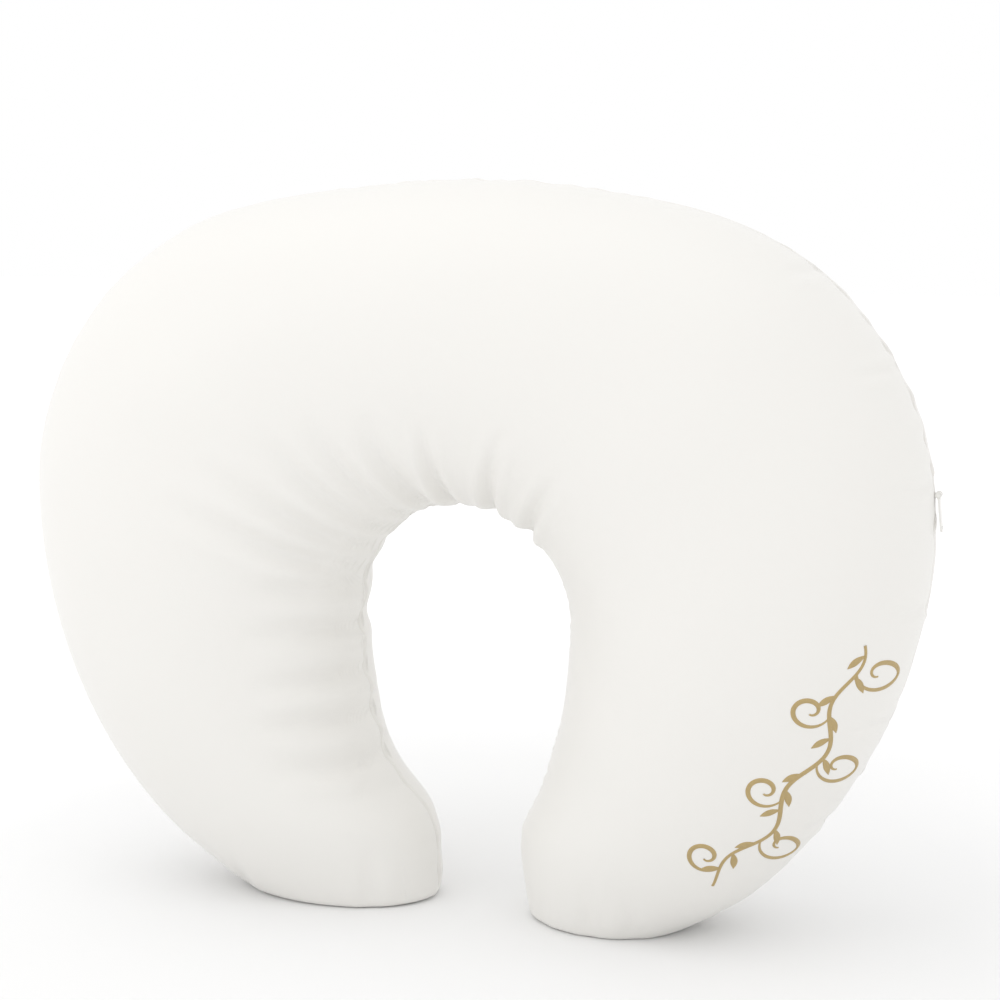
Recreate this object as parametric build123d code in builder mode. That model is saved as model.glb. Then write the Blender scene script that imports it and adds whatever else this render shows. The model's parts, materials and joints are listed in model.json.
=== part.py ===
"""A C-shaped nursing pillow standing on its two arm ends.

The pillow is a stuffed inner cushion inside a zipped satin cover.  X runs across the pillow, Y through its
thickness with the front face towards -Y, and Z up.  The origin is on the floor, midway between the arms.
Cushion and cover are each two C-shaped panels sewn together round the edge, in the plane Y = 0.
"""

import math
import os

from build123d import *

os.makedirs("parts", exist_ok=True)

# ---------------------------------------------------------------- driving dimensions, in millimetres and degrees
CROWN_HEIGHT = 454.0  # top of the crown above the floor
CROWN_RADIUS = 670.0  # outer edge across the crown
CROWN_TURN = 12.0
SHOULDER_RADIUS = 188.0  # outer edge round each shoulder, which the zip follows
SHOULDER_TURN = 78.0
ARM_OUTER_RADIUS = 310.0  # outer edge down each arm
ARM_OUTER_TURN = 47.0
OPENING_RADIUS = 71.0  # round top of the opening for the waist
OPENING_CENTRE_HEIGHT = 185.0
ARM_INNER_RADIUS = 300.0  # inner edge down each arm
ARM_INNER_TURN = 28.0

ZIP_TOP_SHARE = 0.286  # the zip's two ends, as shares of the length of the right outer edge
ZIP_LOWER_SHARE = 0.599
# Stations down one arm: shares of the length of the outer and of the inner edge, then half the thickness.
STATIONS = [
    (0.00, 0.00, 82.0),
    (0.11, 0.10, 82.0),
    (0.22, 0.20, 82.0),
    (ZIP_TOP_SHARE, 0.28, 83.0),
    (0.36, 0.34, 84.0),
    (0.43, 0.39, 84.0),
    (0.50, 0.44, 84.0),
    (0.56, 0.49, 84.0),
    (ZIP_LOWER_SHARE, 0.53, 84.0),
    (0.66, 0.59, 83.0),
    (0.73, 0.66, 81.0),
    (0.82, 0.76, 77.0),
    (0.91, 0.87, 71.0),
    (0.98, 0.96, 63.0),
]
FOOT_INNER = 47.0  # the flat patch that each arm stands on
FOOT_OUTER = 146.0
FOOT_HALF_THICKNESS = 42.0

SATIN = 1.2  # stands for the satin and its facing
SEAM_WIDTH = 1.6  # sewn edge between the two panels, and the slit along the zip
RAISED = 0.8  # embroidery thread and label above the satin
CUSHION_FACE_GAP = 2.5  # cover's outside to the inner cushion's outside, at the faces
CUSHION_EDGE_GAP = 9.0  # and at the sewn edge, where the seam allowances and the zip lie
TICKING = 1.0
CUSHION_SEAM_WIDTH = 8.0

TAPE = 0.6
TAPE_WIDTH = 13.0
COIL = 2.0
COIL_WIDTH = 2.2
STOP_SHARE = 0.005
SLIDER_TURN = 84.0  # where the slider rests, near the lower end, turned from the crown

SLIDER_LENGTH = 11.0
SLIDER_RUNNING_GAP = 0.4
SLIDER_WALL = 1.0
NECK_THICKNESS = 0.9
NECK_LENGTH = 5.0
BAR_HEIGHT = 3.2  # pull's bar above the satin
BAR_RADIUS = 0.8
BAR_GAP = 0.08
BAR_HEAD_RADIUS = 1.3
BAR_HEAD_LENGTH = 0.6
EYE_RADIUS = 2.0
PULL_THICKNESS = 1.2
PULL_WIDTH = 5.2
PULL_LENGTH = 22.0
PULL_FORK_DEPTH = 2.8
PULL_FORK_GAP = 1.8
PULL_HOLE_RADIUS = 1.2

VINE_TOP_SHARE = 0.70
VINE_LOWER_SHARE = 0.965
VINE_LOW_ANGLE = 310.0  # embroidered band round the front of the arm's section, in degrees
VINE_HIGH_ANGLE = 320.0
LABEL_TOP_SHARE = 0.79
LABEL_LOWER_SHARE = 0.86
LABEL_LOW_ANGLE = 40.0  # care label round the back
LABEL_HIGH_ANGLE = 60.0

# ---------------------------------------------------------------- the sewn edge, in the plane Y = 0
with BuildLine(Plane.XZ) as outer_edge:
    crown_arc = JernArc((0, CROWN_HEIGHT), (1, 0), CROWN_RADIUS, -CROWN_TURN)
    shoulder_arc = JernArc(crown_arc @ 1, crown_arc % 1, SHOULDER_RADIUS, -SHOULDER_TURN)
    arm_arc = JernArc(shoulder_arc @ 1, shoulder_arc % 1, ARM_OUTER_RADIUS, -ARM_OUTER_TURN)

with BuildLine(Plane.XZ) as inner_edge:
    opening_arc = JernArc((0, OPENING_CENTRE_HEIGHT + OPENING_RADIUS), (1, 0), OPENING_RADIUS, -90)
    JernArc(opening_arc @ 1, opening_arc % 1, ARM_INNER_RADIUS, -ARM_INNER_TURN)


SHOULDER_CENTRE = shoulder_arc.arc_center


def rung_at(outer_share):
    """A line across the right arm in the sewn plane, inner edge to outer, and half the thickness there."""
    for before, after in zip(STATIONS, STATIONS[1:]):
        if before[0] <= outer_share <= after[0]:
            part_way = (outer_share - before[0]) / (after[0] - before[0])
            inner_share = before[1] + part_way * (after[1] - before[1])
            half_thickness = before[2] + part_way * (after[2] - before[2])
    return (inner_edge.wire() @ inner_share, outer_edge.wire() @ outer_share, half_thickness)


def rungs_between(first_share, last_share):
    """Rungs at two shares of the outer edge and at every station between them."""
    stations = [station[0] for station in STATIONS if first_share < station[0] < last_share]
    return [rung_at(share) for share in [first_share, *stations, last_share]]


def rungs_to_foot(first_share, foot_height):
    """Rungs from a share of the outer edge down to the flat patch that the arm stands on.

    From the crown they start one rung past the middle, so that the halves meet smoothly once cut and mirrored."""
    rungs = rungs_between(first_share, STATIONS[-1][0])
    foot_ends = (Vector(FOOT_INNER, 0, foot_height), Vector(FOOT_OUTER, 0, foot_height))
    rungs.append((*foot_ends, FOOT_HALF_THICKNESS))
    if first_share == 0:
        inner, outer, half_thickness = rungs[1]
        rungs.insert(0, (Vector(-inner.X, 0, inner.Z), Vector(-outer.X, 0, outer.Z), half_thickness))
    return rungs


def rung_plane(inner, outer):
    """Crosses the arm on a rung: x runs from the inner edge to the outer, y towards the back."""
    across = (outer - inner).normalized()
    return Plane(origin=(inner + outer) / 2, x_dir=across, z_dir=across.cross(Vector(0, 1, 0)))


def core_sections(rungs, edge_inset, face_inset):
    """Whole ellipses to loft the stuffing through."""
    sections = []
    for inner, outer, half_thickness in rungs:
        half_width = (outer - inner).length / 2 - edge_inset
        half_depth = half_thickness - face_inset
        with BuildSketch(rung_plane(inner, outer)) as section:
            with BuildLine():
                for quarter in range(4):
                    EllipticalCenterArc((0, 0), half_width, half_depth, 90 * quarter, arc_size=90)
            make_face()
        sections.append(section.sketch.face())
    return sections


def skin_sections(rungs, outside, inside, start_turn, end_turn, start_depth=0, end_depth=0):
    """Sections of a skin between two insets, each (at the edge, at the faces), round part of the arm.

    The skin starts start_depth past start_turn and stops end_depth short of end_turn."""
    sections = []
    for inner, outer, half_thickness in rungs:
        half_width = (outer - inner).length / 2
        start_angle = start_turn + math.degrees(math.asin(start_depth / half_thickness))
        end_angle = end_turn - math.degrees(math.asin(end_depth / half_thickness))
        size = end_angle - start_angle
        with BuildSketch(rung_plane(inner, outer)) as section:
            with BuildLine():
                over = EllipticalCenterArc(
                    (0, 0), half_width - outside[0], half_thickness - outside[1], start_angle, arc_size=size
                )
                under = EllipticalCenterArc(
                    (0, 0), half_width - inside[0], half_thickness - inside[1], start_angle, arc_size=size
                )
                Line(over @ 0, under @ 0)
                Line(over @ 1, under @ 1)
            make_face()
        sections.append(section.sketch.face())
    return sections


def shoulder_plane(turn):
    """Stands on the sewn edge: x runs down along the edge, y out of the satin, z towards the front."""
    angle = math.radians(turn)
    edge_x = SHOULDER_CENTRE.X + SHOULDER_RADIUS * math.sin(angle)
    edge_z = SHOULDER_CENTRE.Z + SHOULDER_RADIUS * math.cos(angle)
    return Plane(origin=(edge_x, 0, edge_z), x_dir=(math.cos(angle), 0, -math.sin(angle)), z_dir=(0, -1, 0))


half_seam = SEAM_WIDTH / 2
cushion_outside = (CUSHION_EDGE_GAP, CUSHION_FACE_GAP)
closing_outside = (CUSHION_EDGE_GAP - TICKING, CUSHION_FACE_GAP)
cushion_inside = (CUSHION_EDGE_GAP + TICKING, CUSHION_FACE_GAP + TICKING)
satin_outside = (0, 0)
satin_inside = (SATIN, SATIN)
tape_inside = (SATIN + TAPE, SATIN + TAPE)
coil_inside = (SATIN + TAPE + COIL, SATIN + TAPE + COIL)
raised_outside = (-RAISED, -RAISED)

# ---------------------------------------------------------------- fibre filling
with BuildPart() as fibre_filling:
    loft(core_sections(rungs_to_foot(0, SATIN + TICKING), *cushion_inside))
    split(bisect_by=Plane.YZ, keep=Keep.TOP)
    mirror(about=Plane.YZ)
fibre_filling.part.label = "fibre_filling"
export_step(fibre_filling.part, "parts/fibre_filling.step")

# ---------------------------------------------------------------- ticking of the inner cushion
foot_centre = (FOOT_INNER + FOOT_OUTER) / 2
foot_half_width = (FOOT_OUTER - FOOT_INNER) / 2
casing_rungs = rungs_to_foot(0, SATIN)
casing_foot = (foot_half_width - CUSHION_EDGE_GAP - TICKING / 2, FOOT_HALF_THICKNESS - CUSHION_FACE_GAP - TICKING / 2)
with BuildPart() as casing_front:
    loft(skin_sections(casing_rungs, cushion_outside, cushion_inside, 180, 360))
    split(bisect_by=Plane.YZ, keep=Keep.TOP)
    with BuildSketch(Plane.XY.offset(SATIN)):
        with Locations((foot_centre, 0)):
            Ellipse(*casing_foot)
        with Locations((foot_centre, FOOT_HALF_THICKNESS / 2)):
            Rectangle(2 * foot_half_width, FOOT_HALF_THICKNESS, mode=Mode.SUBTRACT)
    extrude(amount=TICKING)
    mirror(about=Plane.YZ)
casing_front.part.label = "casing_front"
export_step(casing_front.part, "parts/casing_front.step")

with BuildPart() as casing_back:
    loft(skin_sections(casing_rungs, cushion_outside, cushion_inside, 0, 180))
    split(bisect_by=Plane.YZ, keep=Keep.TOP)
    with BuildSketch(Plane.XY.offset(SATIN)):
        with Locations((foot_centre, 0)):
            Ellipse(*casing_foot)
        with Locations((foot_centre, -FOOT_HALF_THICKNESS / 2)):
            Rectangle(2 * foot_half_width, FOOT_HALF_THICKNESS, mode=Mode.SUBTRACT)
    extrude(amount=TICKING)
    mirror(about=Plane.YZ)
casing_back.part.label = "casing_back"
export_step(casing_back.part, "parts/casing_back.step")

# ---------------------------------------------------------------- closing seam round the inner cushion
half_closing = CUSHION_SEAM_WIDTH / 2
with BuildPart() as casing_seam:
    loft(skin_sections(casing_rungs, closing_outside, cushion_outside, 0, 0, -half_closing, -half_closing))
    split(bisect_by=Plane.YZ, keep=Keep.TOP)
    mirror(about=Plane.YZ)
casing_seam.part.label = "casing_seam"
export_step(casing_seam.part, "parts/casing_seam.step")

# ---------------------------------------------------------------- satin panels of the cover, meeting at the seam
cover_rungs = rungs_to_foot(0, 0)
cover_foot = (foot_half_width - SATIN / 2, FOOT_HALF_THICKNESS - SATIN / 2)
foot_cut = FOOT_HALF_THICKNESS - half_seam
with BuildPart() as cover_front_panel:
    loft(skin_sections(cover_rungs, satin_outside, satin_inside, 180, 360, 0, half_seam))
    split(bisect_by=Plane.YZ, keep=Keep.TOP)
    with BuildSketch(Plane.XY):
        with Locations((foot_centre, 0)):
            Ellipse(*cover_foot)
        with Locations((foot_centre, foot_cut)):
            Rectangle(2 * foot_half_width, 2 * FOOT_HALF_THICKNESS, mode=Mode.SUBTRACT)
    extrude(amount=SATIN)
    mirror(about=Plane.YZ)
cover_front_panel.part.label = "cover_front_panel"
export_step(cover_front_panel.part, "parts/cover_front_panel.step")

with BuildPart() as cover_back_panel:
    loft(skin_sections(cover_rungs, satin_outside, satin_inside, 0, 180, half_seam, 0))
    split(bisect_by=Plane.YZ, keep=Keep.TOP)
    with BuildSketch(Plane.XY):
        with Locations((foot_centre, 0)):
            Ellipse(*cover_foot)
        with Locations((foot_centre, -foot_cut)):
            Rectangle(2 * foot_half_width, 2 * FOOT_HALF_THICKNESS, mode=Mode.SUBTRACT)
    extrude(amount=SATIN)
    mirror(about=Plane.YZ)
cover_back_panel.part.label = "cover_back_panel"
export_step(cover_back_panel.part, "parts/cover_back_panel.step")

# ---------------------------------------------------------------- sewn seam of the cover's outer edge, open along the zip
with BuildPart() as cover_seam:
    loft(skin_sections(cover_rungs, satin_outside, tape_inside, 0, 0, -half_seam, -half_seam))
    split(bisect_by=Plane.YZ, keep=Keep.TOP)
    mirror(about=Plane.YZ, mode=Mode.REPLACE)
    upper_rungs = [cover_rungs[0], *rungs_between(0, ZIP_TOP_SHARE)]
    loft(skin_sections(upper_rungs, satin_outside, tape_inside, 0, 0, -half_seam, -half_seam))
    lower_rungs = rungs_to_foot(ZIP_LOWER_SHARE, 0)
    loft(skin_sections(lower_rungs, satin_outside, tape_inside, 0, 0, -half_seam, -half_seam))
cover_seam.part.label = "cover_seam"
export_step(cover_seam.part, "parts/cover_seam.step")

# ---------------------------------------------------------------- tapes of the concealed zip
zip_rungs = rungs_between(ZIP_TOP_SHARE, ZIP_LOWER_SHARE)
with BuildPart() as zip_tape_front:
    loft(skin_sections(zip_rungs, satin_inside, tape_inside, 360, 360, -TAPE_WIDTH, half_seam))
zip_tape_front.part.label = "zip_tape_front"
export_step(zip_tape_front.part, "parts/zip_tape_front.step")

with BuildPart() as zip_tape_back:
    loft(skin_sections(zip_rungs, satin_inside, tape_inside, 0, 0, half_seam, -TAPE_WIDTH))
zip_tape_back.part.label = "zip_tape_back"
export_step(zip_tape_back.part, "parts/zip_tape_back.step")

# ---------------------------------------------------------------- coils, under the tapes
coil_edge = half_seam + COIL_WIDTH
coil_rungs = rungs_between(ZIP_TOP_SHARE + STOP_SHARE, ZIP_LOWER_SHARE - STOP_SHARE)
with BuildPart() as zip_coil_front:
    loft(skin_sections(coil_rungs, tape_inside, coil_inside, 360, 360, -coil_edge, half_seam))
zip_coil_front.part.label = "zip_coil_front"
export_step(zip_coil_front.part, "parts/zip_coil_front.step")

with BuildPart() as zip_coil_back:
    loft(skin_sections(coil_rungs, tape_inside, coil_inside, 0, 0, half_seam, -coil_edge))
zip_coil_back.part.label = "zip_coil_back"
export_step(zip_coil_back.part, "parts/zip_coil_back.step")

# ---------------------------------------------------------------- stops across both coils
upper_stop_rungs = [rung_at(ZIP_TOP_SHARE), rung_at(ZIP_TOP_SHARE + STOP_SHARE)]
with BuildPart() as zip_upper_stop:
    loft(skin_sections(upper_stop_rungs, tape_inside, coil_inside, 0, 0, -coil_edge, -coil_edge))
zip_upper_stop.part.label = "zip_upper_stop"
export_step(zip_upper_stop.part, "parts/zip_upper_stop.step")

lower_stop_rungs = [rung_at(ZIP_LOWER_SHARE - STOP_SHARE), rung_at(ZIP_LOWER_SHARE)]
with BuildPart() as zip_lower_stop:
    loft(skin_sections(lower_stop_rungs, tape_inside, coil_inside, 0, 0, -coil_edge, -coil_edge))
zip_lower_stop.part.label = "zip_lower_stop"
export_step(zip_lower_stop.part, "parts/zip_lower_stop.step")

# ---------------------------------------------------------------- slider: channel inside, neck and bar outside
slider_plane = shoulder_plane(SLIDER_TURN)
channel_half = coil_edge + SLIDER_RUNNING_GAP
floor_depth = SATIN + TAPE + COIL + SLIDER_RUNNING_GAP
rim_depth = SATIN + TAPE + 1.5 * SLIDER_RUNNING_GAP
body_half = channel_half + SLIDER_WALL
bar_half = PULL_WIDTH / 2 + SLIDER_RUNNING_GAP
with BuildPart() as zip_slider:
    with BuildSketch(slider_plane.offset(-body_half)):
        with Locations((0, -(floor_depth + SLIDER_WALL + rim_depth) / 2)):
            Rectangle(SLIDER_LENGTH, floor_depth + SLIDER_WALL - rim_depth)
    extrude(amount=2 * body_half)
    with BuildSketch(slider_plane.offset(-channel_half)):
        with Locations((0, -floor_depth / 2)):
            Rectangle(2 * SLIDER_LENGTH, floor_depth)
    extrude(amount=2 * channel_half, mode=Mode.SUBTRACT)
    with BuildSketch(slider_plane.offset(-NECK_THICKNESS / 2)):
        with Locations((0, (SLIDER_RUNNING_GAP - floor_depth) / 2)):
            Rectangle(NECK_LENGTH, floor_depth + SLIDER_RUNNING_GAP)
        with Locations((0, BAR_HEIGHT / 2)):
            Rectangle(2 * BAR_RADIUS, BAR_HEIGHT)
    extrude(amount=NECK_THICKNESS)
    with BuildSketch(slider_plane.offset(-bar_half)):
        with Locations((0, BAR_HEIGHT)):
            Circle(BAR_RADIUS)
    extrude(amount=2 * bar_half)
    with BuildSketch(slider_plane.offset(bar_half), slider_plane.offset(-bar_half - BAR_HEAD_LENGTH)):
        with Locations((0, BAR_HEIGHT)):
            Circle(BAR_HEAD_RADIUS)
    extrude(amount=BAR_HEAD_LENGTH)
zip_slider.part.label = "zip_slider"
export_step(zip_slider.part, "parts/zip_slider.step")

# ---------------------------------------------------------------- pull, forked round the bar and hanging down
tab_origin = slider_plane.origin + slider_plane.y_dir * (BAR_HEIGHT - PULL_THICKNESS / 2)
tab_plane = Plane(tab_origin, x_dir=slider_plane.x_dir, z_dir=slider_plane.y_dir)
with BuildPart() as zip_pull:
    with BuildSketch(tab_plane):
        with Locations(((PULL_LENGTH - PULL_WIDTH / 2) / 2, 0)):
            Rectangle(PULL_LENGTH - PULL_WIDTH / 2, PULL_WIDTH)
        with Locations((PULL_LENGTH - PULL_WIDTH / 2, 0)):
            Circle(PULL_WIDTH / 2)
            Circle(PULL_HOLE_RADIUS, mode=Mode.SUBTRACT)
    extrude(amount=PULL_THICKNESS)
    with BuildSketch(slider_plane.offset(-PULL_WIDTH / 2)):
        with Locations((0, BAR_HEIGHT)):
            Circle(EYE_RADIUS)
    extrude(amount=PULL_WIDTH)
    with BuildSketch(slider_plane.offset(-PULL_WIDTH / 2)):
        with Locations((0, BAR_HEIGHT)):
            Circle(BAR_RADIUS + BAR_GAP)
    extrude(amount=PULL_WIDTH, mode=Mode.SUBTRACT)
    with BuildSketch(slider_plane.offset(-PULL_FORK_GAP / 2)):
        with Locations((0, BAR_HEIGHT)):
            Rectangle(2 * PULL_FORK_DEPTH, 3 * EYE_RADIUS)
    extrude(amount=PULL_FORK_GAP, mode=Mode.SUBTRACT)
zip_pull.part.label = "zip_pull"
export_step(zip_pull.part, "parts/zip_pull.step")

# ---------------------------------------------------------------- embroidered band down the outer arm
vine_rungs = rungs_between(VINE_TOP_SHARE, VINE_LOWER_SHARE)
with BuildPart() as embroidery:
    loft(skin_sections(vine_rungs, raised_outside, satin_outside, VINE_LOW_ANGLE, VINE_HIGH_ANGLE))
embroidery.part.label = "embroidery"
export_step(embroidery.part, "parts/embroidery.step")

# ---------------------------------------------------------------- care label sewn flat on the back of the left arm
label_rungs = rungs_between(LABEL_TOP_SHARE, LABEL_LOWER_SHARE)
with BuildPart() as care_label:
    loft(skin_sections(label_rungs, raised_outside, satin_outside, LABEL_LOW_ANGLE, LABEL_HIGH_ANGLE))
    mirror(about=Plane.YZ, mode=Mode.REPLACE)
care_label.part.label = "care_label"
export_step(care_label.part, "parts/care_label.step")
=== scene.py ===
import json
import math

import bpy
import numpy as np
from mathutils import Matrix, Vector
from mathutils.bvhtree import BVHTree


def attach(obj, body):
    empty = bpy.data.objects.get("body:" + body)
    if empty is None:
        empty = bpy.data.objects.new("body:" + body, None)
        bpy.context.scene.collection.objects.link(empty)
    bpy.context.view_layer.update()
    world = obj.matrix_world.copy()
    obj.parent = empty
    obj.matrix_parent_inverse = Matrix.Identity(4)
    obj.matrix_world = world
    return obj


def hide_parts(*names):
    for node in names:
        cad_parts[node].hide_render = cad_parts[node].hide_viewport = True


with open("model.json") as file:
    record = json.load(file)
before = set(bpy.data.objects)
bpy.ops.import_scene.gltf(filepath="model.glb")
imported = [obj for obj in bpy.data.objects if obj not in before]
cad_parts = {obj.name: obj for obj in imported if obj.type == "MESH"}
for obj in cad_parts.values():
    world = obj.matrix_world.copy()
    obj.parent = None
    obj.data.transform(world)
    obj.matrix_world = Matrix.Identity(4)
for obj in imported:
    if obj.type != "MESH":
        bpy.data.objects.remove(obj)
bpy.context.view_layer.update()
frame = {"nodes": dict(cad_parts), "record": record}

CROWN_HEIGHT = 0.454
ROWS = 980
ROUND = 560
CAP_ROWS = 26
GROOVE_DEPTH = 0.0016
SLIT_DEPTH = 0.0030
FOOT_HALF_THICKNESS = 0.042
LEFT_LEAN = (0.007, 0.016)
SEAM_CROWDING = 0.28
SEAM_BAND = 0.6
SHOULDER_CENTRE = (0.1002, 0.2555)
ZIP_ENDS = (26, 88)

# Shares of the length of the outer and of the inner edge, then half the thickness, from the crown down one arm.
STATIONS = [
    (0.00, 0.00, 0.0820),
    (0.11, 0.10, 0.0820),
    (0.22, 0.20, 0.0820),
    (0.29, 0.28, 0.0830),
    (0.36, 0.34, 0.0840),
    (0.43, 0.39, 0.0840),
    (0.50, 0.44, 0.0840),
    (0.56, 0.49, 0.0840),
    (0.60, 0.53, 0.0840),
    (0.66, 0.59, 0.0830),
    (0.73, 0.66, 0.0810),
    (0.82, 0.76, 0.0770),
    (0.91, 0.87, 0.0710),
    (0.98, 0.96, 0.0630),
]


def tangent_arcs(start, arcs, step=0.0005):
    """Points along arcs that run on from each other, each (radius, turn in degrees, positive clockwise)."""
    x, z = start
    heading = 0.0
    points = [(x, z)]
    for radius, turn in arcs:
        count = max(2, int(radius * math.radians(abs(turn)) / step))
        for _ in range(count):
            heading -= math.radians(turn) / count / 2
            length = radius * math.radians(abs(turn)) / count
            x += length * math.cos(heading)
            z += length * math.sin(heading)
            heading -= math.radians(turn) / count / 2
            points.append((x, z))
    return np.array(points)


def at_share(points, share):
    lengths = np.concatenate([[0], np.cumsum(np.linalg.norm(np.diff(points, axis=0), axis=1))])
    wanted = share * lengths[-1]
    return np.array([np.interp(wanted, lengths, points[:, 0]), np.interp(wanted, lengths, points[:, 1])])


def natural_spline(knots, values, wanted):
    """Values on the smoothest curve through some knots."""
    knots, values = np.asarray(knots, float), np.asarray(values, float)
    count = len(knots)
    gaps = np.diff(knots)
    system = np.zeros((count, count))
    right = np.zeros((count, values.shape[1]))
    system[0, 0] = system[-1, -1] = 1
    for i in range(1, count - 1):
        system[i, i - 1 : i + 2] = gaps[i - 1], 2 * (gaps[i - 1] + gaps[i]), gaps[i]
        right[i] = 6 * ((values[i + 1] - values[i]) / gaps[i] - (values[i] - values[i - 1]) / gaps[i - 1])
    bends = np.linalg.solve(system, right)
    i = np.clip(np.searchsorted(knots, wanted) - 1, 0, count - 2)
    h = gaps[i][:, None]
    a = (knots[i + 1] - wanted)[:, None] / h
    b = (wanted - knots[i])[:, None] / h
    return a * values[i] + b * values[i + 1] + ((a**3 - a) * bends[i] + (b**3 - b) * bends[i + 1]) * h * h / 6


outer_edge = tangent_arcs((0, CROWN_HEIGHT), [(0.670, 12), (0.188, 78), (0.310, 47)])
inner_edge = tangent_arcs((0, 0.256), [(0.071, 90), (0.300, 28)])
right_rungs = [(*at_share(inner_edge, i), *at_share(outer_edge, o), t) for o, i, t in STATIONS]
# The feet: where each arm's flat end starts at the inner edge and stops at the outer edge.
right_foot = (0.045, 0.0, 0.146, 0.0, FOOT_HALF_THICKNESS)
left_foot = (-0.020, 0.0, -0.150, 0.0, FOOT_HALF_THICKNESS)
left_rungs = [(-r[0], r[1], -r[2], r[3], r[4]) for r in right_rungs[1:]]
# The left arm's end leans in further than the right's.
for place_from_end, lean in zip((-2, -1), LEFT_LEAN):
    inner_x, *others = left_rungs[place_from_end]
    left_rungs[place_from_end] = (inner_x + lean, *others)
all_rungs = np.array([left_foot, *left_rungs[::-1], *right_rungs, right_foot])
middles = (all_rungs[:, 0:2] + all_rungs[:, 2:4]) / 2
along = np.concatenate([[0], np.cumsum(np.linalg.norm(np.diff(middles, axis=0), axis=1))])
station = np.linspace(0, along[-1], ROWS)
rows = natural_spline(along, all_rungs, station)
inner_points, outer_points, half_thickness = rows[:, 0:2], rows[:, 2:4], rows[:, 4]

angle = np.linspace(0, 2 * math.pi, ROUND, endpoint=False)
# Denser round the seams than over the faces.
angle = angle - SEAM_CROWDING * np.sin(2 * angle)
centre = (inner_points + outer_points) / 2
half_width = np.linalg.norm(outer_points - inner_points, axis=1) / 2
across = (outer_points - inner_points) / (2 * half_width[:, None])
depth = half_thickness[:, None] * np.sin(angle)[None, :]
flat = centre[:, None, :] + across[:, None, :] * (half_width[:, None] * np.cos(angle)[None, :])[:, :, None]
shape = np.stack([flat[..., 0], depth, flat[..., 1]], axis=-1)


def grid_normals(points):
    """Outward normals of a grid that is closed round its second direction."""
    down = np.gradient(points, axis=0)
    round_it = (np.roll(points, -1, axis=1) - np.roll(points, 1, axis=1)) / 2
    normals = np.cross(down, round_it)
    normals /= np.linalg.norm(normals, axis=-1, keepdims=True) + 1e-12
    outward = points - points.mean(axis=1, keepdims=True)
    return normals * np.sign((normals * outward).sum(-1, keepdims=True))


normals = grid_normals(shape)
x, y, z = shape[..., 0], shape[..., 1], shape[..., 2]


def soft_waves(points, lengths, count, seed):
    """Slow, even unevenness: a sum of slanted waves of about the given lengths."""
    chance = np.random.default_rng(seed)
    total = np.zeros(points.shape[:-1])
    for _ in range(count):
        way = chance.normal(size=3)
        way /= np.linalg.norm(way)
        total += np.sin(points @ way * 2 * math.pi / chance.uniform(*lengths) + chance.uniform(0, 6.28))
    return total / math.sqrt(count)


lift = 0.0010 * soft_waves(shape, (0.16, 0.34), 9, 1) + 0.00035 * soft_waves(shape, (0.05, 0.10), 12, 2)

# The sewn edge: a groove, wider and open along the zip, and puckers running off it on either side.
outer_side = np.abs(np.angle(np.exp(1j * angle)))[None, :] < SEAM_BAND
inner_side = np.abs(np.angle(np.exp(1j * (angle - math.pi))))[None, :] < SEAM_BAND
near_seam = outer_side | inner_side
zip_turn = np.degrees(np.arctan2(x - SHOULDER_CENTRE[0], z - SHOULDER_CENTRE[1]))
on_zip = outer_side & (x > 0.12) & (zip_turn > ZIP_ENDS[0]) & (zip_turn < ZIP_ENDS[1])
slit = SLIT_DEPTH * np.exp(-((y / 0.0011) ** 4))
sewn = GROOVE_DEPTH * np.exp(-((y / 0.0013) ** 2))
lift -= np.where(near_seam, np.where(on_zip, slit, sewn), 0)


def puckers(seed, spacing, side):
    """Uneven ridges that run square to the seam, different on the front and the back."""
    chance = np.random.default_rng(seed)
    ridges = np.zeros_like(station)
    for _ in range(7):
        ridges += np.sin(station * 2 * math.pi / (spacing * chance.uniform(0.6, 1.7)) + chance.uniform(0, 6.28))
    swell = 0.55 + 0.45 * np.sin(station * 2 * math.pi / 0.21 + seed)
    return (ridges * swell / 2.6)[:, None] * side


front, back = (y < 0) * 1.0, (y >= 0) * 1.0
from_seam = np.abs(y)
outer_fade = np.exp(-from_seam / 0.011) * (1 - np.exp(-((from_seam / 0.0012) ** 2))) * outer_side
inner_fade = np.exp(-from_seam / 0.015) * (1 - np.exp(-((from_seam / 0.0012) ** 2))) * inner_side
lift += 0.0009 * outer_fade * (puckers(11, 0.017, front) + puckers(12, 0.017, back))
lift += 0.0008 * inner_fade * (puckers(13, 0.019, front) + puckers(14, 0.019, back))

def crease(points, wanted, start, bend, end, width, deep):
    """A valley with raised lips along a curve, deepest where it leaves the seam and fading out."""
    steps = np.linspace(0, 1, 60)[:, None]
    start, bend, end = (np.array(p) / 1000 for p in (start, bend, end))
    line = (1 - steps) ** 2 * start + 2 * steps * (1 - steps) * bend + steps**2 * end
    reach = 4.5 * width / 1000
    near = wanted & (points[..., 0] > line[:, 0].min() - reach) & (points[..., 0] < line[:, 0].max() + reach)
    near &= (points[..., 2] > line[:, 1].min() - reach) & (points[..., 2] < line[:, 1].max() + reach)
    some = points[near][:, [0, 2]]
    away = np.linalg.norm(some[:, None, :] - line[None, :, :], axis=2)
    nearest = away.argmin(axis=1)
    gap = away[np.arange(len(some)), nearest] * 1000 / width
    share = nearest / 59
    fade = (1 - share) * np.clip(0.35 + share / 0.16, 0, 1)
    result = np.zeros(points.shape[:-1])
    valley = -np.exp(-(gap**2)) + 0.5 * np.exp(-(((gap - 2.0) / 1.1) ** 2))
    result[near] = deep / 1000 * valley * fade
    return result


# Gathers on the front, all made by rule (mm and degrees).  A fan leaves the opening's round top square to its
# edge, others leave the inner edge of the left arm level, and short ones stand on the feet.
OPENING_RADIUS, OPENING_MIDDLE = 71, 185
GATHER_BEND = 4
gather_chance = np.random.default_rng(21)


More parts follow.
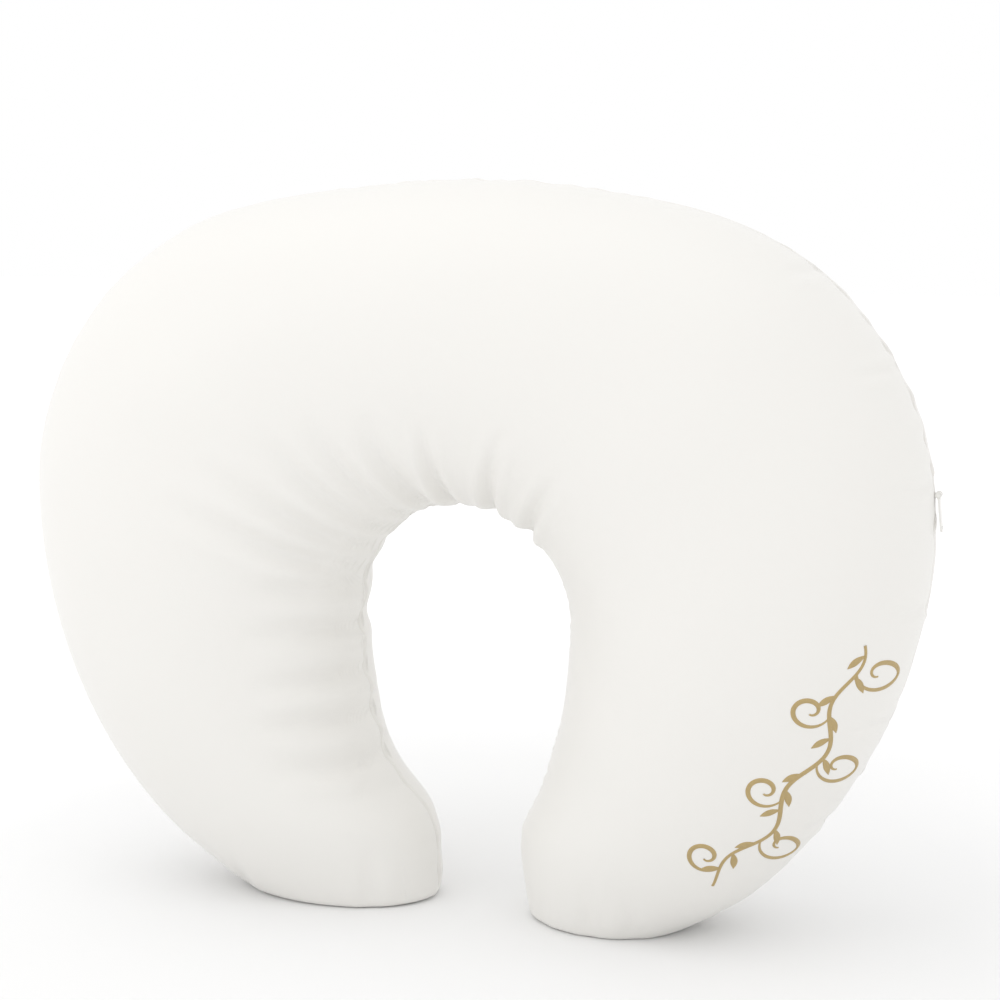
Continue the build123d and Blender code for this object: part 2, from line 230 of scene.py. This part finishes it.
def gather(start, way, length, width, deep):
    """One crease from a start, running way degrees up from level, a little bent and a little uneven."""
    way += gather_chance.uniform(-4, 4)
    length *= gather_chance.uniform(0.85, 1.15)
    run = np.array([math.cos(math.radians(way)), math.sin(math.radians(way))]) * length
    aside = np.array([-run[1], run[0]]) / length * gather_chance.uniform(-GATHER_BEND, GATHER_BEND)
    start = np.asarray(start, float)
    return crease(shape, y < 0.004, start, start + run / 2 + aside, start + run, width, deep)


def fan(first_way, last_way, how_many, first_length, last_length, width, deep):
    """Gathers spaced evenly round the opening's top, their lengths changing evenly."""
    total = np.zeros(shape.shape[:-1])
    ways = np.linspace(first_way, last_way, how_many)
    lengths = np.linspace(first_length, last_length, how_many)
    for way, length in zip(ways, lengths):
        out = np.array([math.cos(math.radians(way)), math.sin(math.radians(way))])
        total += gather(OPENING_RADIUS * out + np.array([0, OPENING_MIDDLE]), way, length, width, deep)
    return total


lift += fan(50, 90, 3, 60, 70, 4, 5)
lift += fan(105, 155, 5, 75, 120, 7, 6)
for share in np.linspace(0.35, 0.8, 5):
    left_edge = at_share(inner_edge, share) * (-1000, 1000)
    lift += gather(left_edge, 180, 55, 6, 3.8)
for share in np.linspace(0.35, 0.9, 6):
    right_edge = at_share(outer_edge, share) * 1000
    lift += gather(right_edge, 180, 18, 3, 1.4)
for across_foot in (-140, -50, 60, 95, 120):
    lift += gather((across_foot, 5), 90, 36, 5, 1.6)

# The back gathers the same way, less regularly, in spokes out from the opening.
uneven = np.random.default_rng(7)
for spoke in range(13):
    way = math.radians(-60 + 20 * spoke + uneven.uniform(-6, 6))
    outward = np.array([math.cos(way), math.sin(way)])
    inner = OPENING_RADIUS * outward + np.array([0, OPENING_MIDDLE])
    out = inner + outward * uneven.uniform(30, 75)
    middle = (inner + out) / 2 + uneven.uniform(-6, 6, 2)
    wide, deep = uneven.uniform(4.5, 7.5), uneven.uniform(1.2, 2.4)
    lift += crease(shape, y > -0.004, inner, middle, out, wide, deep)

shape = shape + normals * lift[..., None]

# The flat ends of the arms, closed underneath and softened where they turn up from the floor.
end_rings = [1 - ring / CAP_ROWS for ring in range(1, CAP_ROWS)]
first_end, last_end = shape[0].copy(), shape[-1].copy()
left_cap = np.stack([first_end.mean(0) + (first_end - first_end.mean(0)) * k for k in end_rings[::-1]])
right_cap = np.stack([last_end.mean(0) + (last_end - last_end.mean(0)) * k for k in end_rings])
shape = np.concatenate([left_cap, shape, right_cap])
for _ in range(14):
    for ends in (slice(14, CAP_ROWS + 12), slice(-CAP_ROWS - 12, -14)):
        block = shape[ends].copy()
        block[1:-1] = 0.5 * block[1:-1] + 0.25 * (block[:-2] + block[2:])
        shape[ends] = block
shape[..., 2] = np.maximum(shape[..., 2], 0.0002)

points = shape.reshape(-1, 3)
grid = np.arange(len(points)).reshape(-1, ROUND)
next_round = np.roll(grid, -1, axis=1)
quads = np.stack([grid[:-1], grid[1:], next_round[1:], next_round[:-1]], axis=-1).reshape(-1, 4)
end_caps = [list(grid[0]), list(grid[-1][::-1])]
cover_mesh = bpy.data.meshes.new("satin_cover")
cover_mesh.from_pydata(points.tolist(), [], quads.tolist() + end_caps)
cover_mesh.polygons.foreach_set("use_smooth", [True] * len(cover_mesh.polygons))
cover_mesh.validate()
cover_mesh.update()
cover = bpy.data.objects.new("satin_cover", cover_mesh)
bpy.context.scene.collection.objects.link(cover)

# The fine unevenness of cloth, nylon and enamel, used by most finishes below at scales of their own.
grain = bpy.data.node_groups.new("fine_grain", "ShaderNodeTree")
grain.interface.new_socket("Scale", in_out="INPUT", socket_type="NodeSocketFloat")
grain.interface.new_socket("Detail", in_out="INPUT", socket_type="NodeSocketFloat")
grain.interface.new_socket("Height", in_out="OUTPUT", socket_type="NodeSocketFloat")
grain_in, grain_out = grain.nodes.new("NodeGroupInput"), grain.nodes.new("NodeGroupOutput")
grain_place = grain.nodes.new("ShaderNodeTexCoord")
grain_noise = grain.nodes.new("ShaderNodeTexNoise")
grain.links.new(grain_place.outputs["Object"], grain_noise.inputs["Vector"])
grain.links.new(grain_in.outputs["Scale"], grain_noise.inputs["Scale"])
grain.links.new(grain_in.outputs["Detail"], grain_noise.inputs["Detail"])
grain.links.new(grain_noise.outputs["Fac"], grain_out.inputs["Height"])


def add_grain(material_nodes, scale, detail):
    """The grain group placed in a material."""
    placed = material_nodes.new("ShaderNodeGroup")
    placed.node_tree = grain
    placed.inputs["Scale"].default_value = scale
    placed.inputs["Detail"].default_value = detail
    return placed


satin = bpy.data.materials.new("warm_white_satin")
satin.use_nodes = True
nodes, links = satin.node_tree.nodes, satin.node_tree.links
surface = nodes["Principled BSDF"]
surface.inputs["Base Color"].default_value = (0.825, 0.812, 0.782, 1)
surface.inputs["Roughness"].default_value = 0.46
surface.inputs["Specular IOR Level"].default_value = 0.35
surface.inputs["Sheen Weight"].default_value = 0.25
surface.inputs["Sheen Roughness"].default_value = 0.4
weave = add_grain(nodes, 900, 2)
slubs = add_grain(nodes, 45, 4)
mix = nodes.new("ShaderNodeMath")
mix.operation = "MULTIPLY_ADD"
mix.inputs[1].default_value = 0.35
bump = nodes.new("ShaderNodeBump")
bump.inputs["Strength"].default_value = 0.12
bump.inputs["Distance"].default_value = 0.0008
links.new(weave.outputs["Height"], mix.inputs[0])
links.new(slubs.outputs["Height"], mix.inputs[2])
links.new(mix.outputs[0], bump.inputs["Height"])
links.new(bump.outputs["Normal"], surface.inputs["Normal"])
cover_mesh.materials.append(satin)
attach(cover, "cushion")
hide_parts("cover_front_panel", "cover_back_panel", "cover_seam")

# --------------------------------------------------------------------------------------------------- embroidery
# A scrolling vine worked by machine in gold rayon thread on the front of the right arm, through the satin alone.
# Each line is a satin stitch: threads laid side by side across the line, so it stands up as a rounded cord.
VINE_RADIUS = 284.0
ARM_CENTRE = (-21.8, 255.5)
THREAD_RISE = 0.00055
STEM_SWING = 4.5
STEM_WAVE = 58
SECTION = 9
satin_surface = BVHTree.FromPolygons([Vector(p) for p in points.tolist()], quads.tolist())


def on_satin(run, side):
    """The place and the way out of the satin, run mm down the vine and side mm towards the outer edge."""
    down = math.radians(11) + run / VINE_RADIUS
    radius = VINE_RADIUS + side
    across_mm = ARM_CENTRE[0] + radius * math.cos(down)
    up_mm = ARM_CENTRE[1] - radius * math.sin(down)
    start = Vector((across_mm / 1000, -0.3, up_mm / 1000))
    hit, normal, _, _ = satin_surface.ray_cast(start, Vector((0, 1, 0)))
    if normal.y > 0:
        normal = -normal
    return np.array(hit), np.array(normal)


def stem_side(run):
    """How far the stem swings to the side, run mm down the vine."""
    return STEM_SWING * math.sin(run * 2 * math.pi / STEM_WAVE)


stroke_lines = []
stem = [(6 + i, stem_side(6 + i)) for i in range(176)]
stroke_lines.append((stem, 2.0, 3.2))
for curl in range(6):
    start_run = 16 + 29 * curl
    side = 1 if curl % 2 == 0 else -1
    base_side = stem_side(start_run)
    line = []
    for i in range(70):
        share = i / 69
        radius = 9.5 * (1 - share) ** 0.75 + 1.8
        turn = math.radians(-90 + 430 * share)
        line_side = base_side + side * (9.5 + radius * math.sin(turn))
        line.append((start_run + 6 + radius * math.cos(turn), line_side))
    stroke_lines.append((line, 1.2, 3.2))
for leaf in range(13):
    run = 12 + 13 * leaf
    side = -1 if leaf % 2 == 0 else 1
    base_side = stem_side(run)
    line = []
    for i in range(24):
        share = i / 23
        line.append((run + 9 * share, base_side + side * (9.5 * share - 2.5 * share * share)))
    stroke_lines.append((line, 0.6, 4.6))

thread_points, thread_faces, thread_marks = [], [], []
for line, thin, thick in stroke_lines:
    runs = [np.array(p, float) for p in line]
    placed = [on_satin(*p) for p in runs]
    centres = np.array([p[0] for p in placed])
    outs = np.array([p[1] for p in placed])
    for _ in range(3):
        outs[1:-1] = (outs[:-2] + outs[1:-1] + outs[2:]) / 3
    ways = np.gradient(centres, axis=0)
    ways /= np.linalg.norm(ways, axis=1, keepdims=True)
    sides = np.cross(outs, ways)
    sides /= np.linalg.norm(sides, axis=1, keepdims=True)
    lengths = np.concatenate([[0], np.cumsum(np.linalg.norm(np.diff(centres, axis=0), axis=1))])
    base = len(thread_points)
    for i in range(len(line)):
        share = i / (len(line) - 1)
        width = (thin + (thick - thin) * math.sin(math.pi * min(1, share * 1.02))) / 1000
        for k in range(SECTION):
            around = math.pi * k / (SECTION - 1)
            rise = THREAD_RISE * (0.35 + 0.65 * min(1, width / 0.0024))
            sideways = sides[i] * (width / 2 * math.cos(around))
            outwards = outs[i] * (rise * math.sin(around) - 0.00008)
            thread_points.append((centres[i] + sideways + outwards).tolist())
            thread_marks.append((lengths[i] * 1000, k / (SECTION - 1)))
    for i in range(len(line) - 1):
        for k in range(SECTION - 1):
            a = base + i * SECTION + k
            thread_faces.append((a, a + 1, a + SECTION + 1, a + SECTION))
thread_mesh = bpy.data.meshes.new("gold_vine")
thread_mesh.from_pydata(thread_points, [], thread_faces)
thread_mesh.polygons.foreach_set("use_smooth", [True] * len(thread_mesh.polygons))
marks = thread_mesh.uv_layers.new(name="stitches")
corner = np.zeros(len(thread_mesh.loops), int)
thread_mesh.loops.foreach_get("vertex_index", corner)
marks.data.foreach_set("uv", np.array(thread_marks)[corner].ravel())
thread_mesh.update()
vine = bpy.data.objects.new("gold_vine", thread_mesh)
bpy.context.scene.collection.objects.link(vine)

gold = bpy.data.materials.new("gold_rayon_thread")
gold.use_nodes = True
nodes, links = gold.node_tree.nodes, gold.node_tree.links
surface = nodes["Principled BSDF"]
surface.inputs["Base Color"].default_value = (0.53, 0.39, 0.17, 1)
surface.inputs["Roughness"].default_value = 0.38
surface.inputs["Specular IOR Level"].default_value = 0.6
place = nodes.new("ShaderNodeUVMap")
place.uv_map = "stitches"
threads = nodes.new("ShaderNodeTexWave")
threads.inputs["Scale"].default_value = 0.8
threads.inputs["Distortion"].default_value = 0.6
bump = nodes.new("ShaderNodeBump")
bump.inputs["Strength"].default_value = 0.6
bump.inputs["Distance"].default_value = 0.0003
links.new(place.outputs["UV"], threads.inputs["Vector"])
links.new(threads.outputs["Fac"], bump.inputs["Height"])
links.new(bump.outputs["Normal"], surface.inputs["Normal"])
thread_mesh.materials.append(gold)
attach(vine, "cushion")
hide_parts("embroidery")

# -------------------------------------------------------------------------------------------------- care label
# A blank tape of woven white satin, about 1 mm thick with its edges turned under, sewn flat on the back of the left
# arm by a line of small stitches round its edge.  It follows the cover's swell.
LABEL_RISE = 0.0009
LABEL_STITCH_INSET = 2
LABEL_SHARES = (0.86, 0.79)
LABEL_TURNS = (40, 60)
THREAD_HALF = 0.00035
label_ends = [at_share(outer_edge, share) * (-1, 1) for share in LABEL_SHARES]
label_rows = [int(np.linalg.norm(outer_points - end, axis=1).argmin()) for end in label_ends]
first_turn, last_turn = (math.radians(turn) for turn in LABEL_TURNS)
label_columns = np.nonzero((angle > first_turn) & (angle < last_turn))[0]
label_down_rows = slice(CAP_ROWS - 1 + label_rows[0], CAP_ROWS + label_rows[1])
label_satin = shape[label_down_rows, label_columns[0] : label_columns[-1] + 1]
label_out = np.cross(np.gradient(label_satin, axis=0), np.gradient(label_satin, axis=1))
label_out /= np.linalg.norm(label_out, axis=-1, keepdims=True)
label_out *= np.sign(label_out[..., 1:2])
rise = np.full(label_satin.shape[:2], LABEL_RISE)
rise[[0, -1], :] = rise[:, [0, -1]] = -0.0003
label_down, label_across = label_satin.shape[:2]
label_points = (label_satin + label_out * rise[..., None]).reshape(-1, 3)
label_grid = np.arange(label_down * label_across).reshape(label_down, label_across)
label_quads = np.stack(
    [label_grid[:-1, :-1], label_grid[1:, :-1], label_grid[1:, 1:], label_grid[:-1, 1:]], axis=-1
).reshape(-1, 4)
stitch_points, stitch_faces = [], []
low_row, high_row = LABEL_STITCH_INSET, label_down - 1 - LABEL_STITCH_INSET
low_column, high_column = LABEL_STITCH_INSET, label_across - 1 - LABEL_STITCH_INSET
stitch_path = [(row, low_column) for row in range(low_row, high_row)]
stitch_path += [(high_row, column) for column in range(low_column, high_column)]
stitch_path += [(row, high_column) for row in range(high_row, low_row, -1)]
stitch_path += [(low_row, column) for column in range(high_column, low_column, -1)]
for first, second in zip(stitch_path[::3], stitch_path[2::3]):
    start, end = label_satin[first], label_satin[second]
    out = label_out[first]
    way = (end - start) / np.linalg.norm(end - start)
    side = np.cross(out, way)
    base = len(stitch_points)
    for share, full in ((0.0, 0.5), (0.25, 1.0), (0.75, 1.0), (1.0, 0.5)):
        for k in range(5):
            around = math.pi * k / 4
            spot = start + (end - start) * share + side * (THREAD_HALF * full * math.cos(around))
            stitch_points.append(spot + out * (LABEL_RISE + 0.0003 * full * math.sin(around)))
    for i in range(3):
        for k in range(4):
            corner_point = base + i * 5 + k
            stitch_faces.append((corner_point, corner_point + 1, corner_point + 6, corner_point + 5))
label_mesh = bpy.data.meshes.new("care_label_tape")
label_mesh.from_pydata(
    label_points.tolist() + [p.tolist() for p in stitch_points],
    [],
    label_quads.tolist() + [tuple(c + len(label_points) for c in f) for f in stitch_faces],
)
label_mesh.polygons.foreach_set("use_smooth", [True] * len(label_mesh.polygons))
label_mesh.update()
care_tape = bpy.data.objects.new("care_label_tape", label_mesh)
bpy.context.scene.collection.objects.link(care_tape)
def plain_material(name, colour, roughness, grain_scale, grain_height):
    """A small piece's finish, with a fine unevenness of its own."""
    made = bpy.data.materials.new(name)
    made.use_nodes = True
    nodes, links = made.node_tree.nodes, made.node_tree.links
    surface = nodes["Principled BSDF"]
    surface.inputs["Base Color"].default_value = (*colour, 1)
    surface.inputs["Roughness"].default_value = roughness
    texture = add_grain(nodes, grain_scale, 2)
    bump = nodes.new("ShaderNodeBump")
    bump.inputs["Strength"].default_value = 0.4
    bump.inputs["Distance"].default_value = grain_height
    links.new(texture.outputs["Height"], bump.inputs["Height"])
    links.new(bump.outputs["Normal"], surface.inputs["Normal"])
    return made


slot_of = {piece["node"]: piece["material_slot"] for piece in frame["record"]["subparts"]}


def finish_slot(slot, name, *look):
    """A finish laid on every piece of one slot.  Returns it."""
    made = plain_material(name, *look)
    for piece, node in frame["nodes"].items():
        if slot_of[piece] == slot:
            node.data.materials.clear()
            node.data.materials.append(made)
    return made


label_finish = finish_slot("label_tape", "label_tape", (0.90, 0.90, 0.88), 0.55, 2200, 0.0002)
label_mesh.materials.append(label_finish)
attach(care_tape, "cushion")
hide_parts("care_label")

# ------------------------------------------------------------------------------------- zip tapes, coils, stops
# A concealed zip behind the slit along the right shoulder: two woven polyester tapes sewn to the two panels,
# each with a nylon coil along its edge, and a small moulded stop across both coils at each end.
finish_slot("zip_tape", "zip_tape", (0.86, 0.85, 0.82), 0.8, 1800, 0.0002)
finish_slot("zip_nylon", "zip_nylon", (0.86, 0.85, 0.82), 0.35, 900, 0.0001)

# --------------------------------------------------------------------------------------------- slider and pull
# Die-cast and enamelled white.  The slider's channel runs on the coils inside the cover, its neck comes through
# the slit, and the pull swings on the bar outside.
finish_slot("zip_metal", "white_enamel", (0.84, 0.83, 0.80), 0.28, 300, 0.00003)

# ------------------------------------------------------------------------------------------- inner cushion case
# Two panels of white cotton ticking sewn together all round by an overlocked edge, a little smaller than the
# cover so that the cover pulls on over it.
finish_slot("ticking", "ticking", (0.86, 0.86, 0.85), 0.85, 1600, 0.0003)
finish_slot("ticking_thread", "ticking_thread", (0.82, 0.82, 0.80), 0.8, 1200, 0.0004)

# ------------------------------------------------------------------------------------------------------ filling
# Loose hollow polyester fibre, blown into the ticking case until it is firm, then sewn in.
# It isn't seen unless the case is taken away.
finish_slot("fibre", "fibre", (0.92, 0.92, 0.92), 0.9, 400, 0.0012)

# -------------------------------------------------------------------------------------------------------- floor
# A sheet of matt white paper with a painted glow, none near the pillow and growing further out, so that it runs out
# to plain white with no horizon and only the pillow's own shade shows on it.
FLOOR_HALF = 6.0
corner_ways = ((-1, -1), (1, -1), (1, 1), (-1, 1))
floor_corners = [(x_way * FLOOR_HALF, y_way * FLOOR_HALF, 0) for x_way, y_way in corner_ways]
floor_mesh = bpy.data.meshes.new("floor")
floor_mesh.from_pydata(floor_corners, [], [(0, 1, 2, 3)])
floor = bpy.data.objects.new("floor", floor_mesh)
bpy.context.scene.collection.objects.link(floor)
paper = bpy.data.materials.new("white_paper")
paper.use_nodes = True
nodes, links = paper.node_tree.nodes, paper.node_tree.links
surface = nodes["Principled BSDF"]
surface.inputs["Base Color"].default_value = (0.90, 0.90, 0.90, 1)
surface.inputs["Roughness"].default_value = 0.9
# Painted light: the paper itself glows, more the further it lies from the pillow, though no lamp lights it there.
surface.inputs["Emission Strength"].default_value = 0.19
place = nodes.new("ShaderNodeTexCoord")
away = nodes.new("ShaderNodeVectorMath")
away.operation = "LENGTH"
painted_glow = nodes.new("ShaderNodeMapRange")
painted_glow.inputs["From Min"].default_value = 0.34
painted_glow.inputs["From Max"].default_value = 1.1
links.new(place.outputs["Object"], away.inputs[0])
links.new(away.outputs["Value"], painted_glow.inputs["Value"])
links.new(painted_glow.outputs["Result"], surface.inputs["Emission Color"])
floor_mesh.materials.append(paper)

# -------------------------------------------------------------------------------------------------------- light
# A white room, with one large soft box over the pillow and one lower down at its left front.
world = bpy.data.worlds.new("studio")
bpy.context.scene.world = world
world.use_nodes = True
world.node_tree.nodes["Background"].inputs["Color"].default_value = (1, 1, 1, 1)
world.node_tree.nodes["Background"].inputs["Strength"].default_value = 1.0


def soft_box(name, place, aim, width, height, power):
    """A large diffused lamp."""
    lamp = bpy.data.lights.new(name, "AREA")
    lamp.shape = "RECTANGLE"
    lamp.size, lamp.size_y, lamp.energy = width, height, power
    holder = bpy.data.objects.new(name, lamp)
    holder.location = place
    holder.rotation_euler = (Vector(aim) - Vector(place)).to_track_quat("-Z", "Y").to_euler()
    bpy.context.scene.collection.objects.link(holder)
    return holder


soft_box("overhead", (-0.5, -0.4, 2.2), (0, 0, 0.2), 2.0, 1.6, 6.5)
soft_box("left_front", (-1.9, -1.9, 1.3), (0, 0, 0.25), 1.2, 1.2, 4.5)

# ------------------------------------------------------------------------------------------------------- camera
# It stands to the right of the pillow's middle and a little above it, and looks slightly down.
EYE_TARGET = (0.02245, 0, 0.2589)
EYE_TURN, EYE_RISE, EYE_DISTANCE = 18.64, 8.88, 1.400
lens = bpy.data.cameras.new("camera")
lens.lens = 81.7
lens.sensor_width = 36
eye = bpy.data.objects.new("camera", lens)
bpy.context.scene.collection.objects.link(eye)
turn, lift_angle = math.radians(EYE_TURN), math.radians(EYE_RISE)
level_way = Vector((math.sin(turn), -math.cos(turn), 0)) * math.cos(lift_angle)
back_way = level_way + Vector((0, 0, math.sin(lift_angle)))
eye.location = Vector(EYE_TARGET) + back_way * EYE_DISTANCE
eye.rotation_euler = (-back_way).to_track_quat("-Z", "Y").to_euler()
bpy.context.scene.camera = eye
bpy.context.scene.view_settings.view_transform = "Standard"
